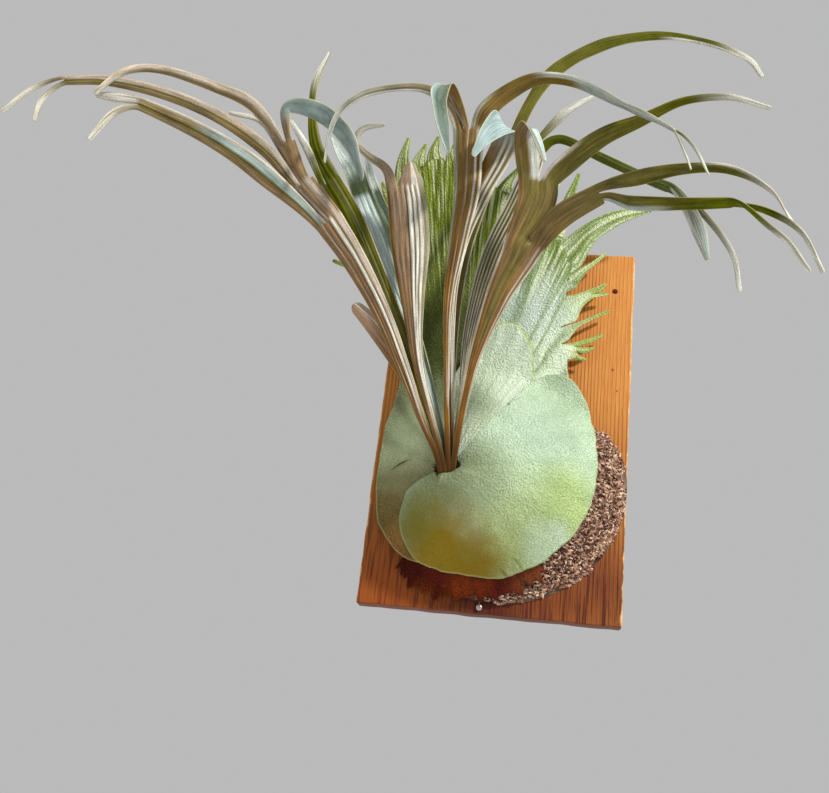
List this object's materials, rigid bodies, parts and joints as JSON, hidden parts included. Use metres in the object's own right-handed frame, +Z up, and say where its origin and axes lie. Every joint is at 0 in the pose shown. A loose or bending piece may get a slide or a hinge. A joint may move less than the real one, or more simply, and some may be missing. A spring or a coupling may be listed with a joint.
{
  "type": "mounted staghorn fern",
  "caption": "Staghorn fern with overlapping round shield fronds and long forked arching fronds, tied over a root mound on an upright wooden board that hangs flat on a wall.",
  "frame": {"origin": "centre of the board's back face, on the wall", "axes": "+Z up along the board's grain, -Y away from the wall towards the viewer, +X to the viewer's right"},
  "size_m": [0.6493, 0.2985, 0.5565],
  "materials": {
    "stained_softwood": "oil-stained softwood with open vertical grain, satin",
    "bark_and_fibre": "loose bark chips and fibre, matte",
    "zinc_screw": "dull zinc",
    "tie_line": "smooth nylon line",
    "bud_scales": "dense brown hair, matte",
    "dry_papery_shield": "dry, dark and papery, matte",
    "old_olive_shield": "thinly felted, matte",
    "pale_felted_shield": "silvery felt over green, matte",
    "tan_frond": "fine tan felt below and green above, matte",
    "olive_frond": "thin felt over olive green, soft sheen",
    "blue_green_frond": "pale felt over blue-green, matte"
  },
  "bodies": {
    "root": {"board": "stained_softwood", "root_ball": "bark_and_fibre", "screw_lower": "zinc_screw", "screw_upper": "zinc_screw", "tie_line": "tie_line", "growing_bud": "bud_scales", "shield_papery_base": "dry_papery_shield", "shield_left": "old_olive_shield", "shield_crown": "pale_felted_shield", "shield_middle": "pale_felted_shield", "shield_front": "pale_felted_shield", "frond_left_long": "tan_frond", "frond_left_olive": "olive_frond", "frond_left_blue": "blue_green_frond", "frond_centre_wide": "tan_frond", "frond_centre_tall": "tan_frond", "frond_centre_blue": "blue_green_frond", "frond_right_main": "tan_frond", "frond_back_tall": "olive_frond", "frond_back_low": "olive_frond", "frond_young_left": "tan_frond"}
  },
  "joints": []
}
